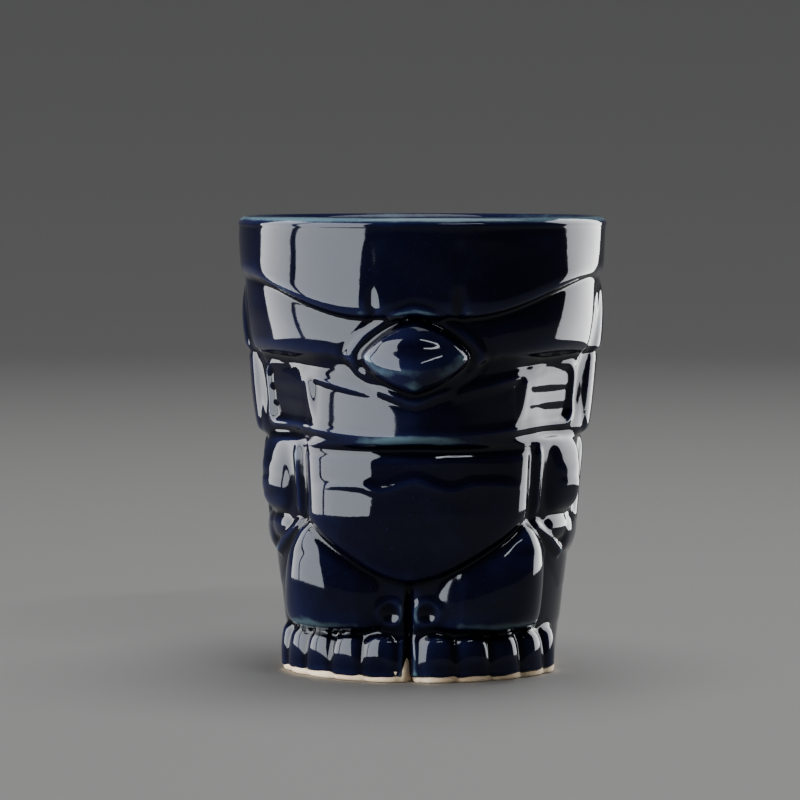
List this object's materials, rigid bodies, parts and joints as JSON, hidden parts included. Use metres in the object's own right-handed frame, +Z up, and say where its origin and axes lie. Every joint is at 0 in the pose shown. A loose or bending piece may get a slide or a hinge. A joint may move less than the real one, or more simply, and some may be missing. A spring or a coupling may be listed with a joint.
{
  "type": "tiki mug",
  "caption": "Glazed ceramic tiki mug: tapered round cup whose outside is carved as a squatting figure with wide mouth, belly, raised knees and toes.",
  "frame": {"origin": "centre of the foot, on the table", "axes": "+Z up to the lip, -Y out of the figure's face, +X to the right of someone facing the figure"},
  "size_m": [0.0916, 0.0958, 0.112],
  "materials": {
    "clay": "unglazed fired clay, matt and slightly gritty",
    "cobalt_glaze": "opaque cobalt glaze, fired glossy, darker where it pools and paler on edges"
  },
  "bodies": {
    "root": {"clay_body": "clay", "outer_glaze": "cobalt_glaze", "inner_glaze": "cobalt_glaze", "base_glaze": "cobalt_glaze"}
  },
  "joints": []
}
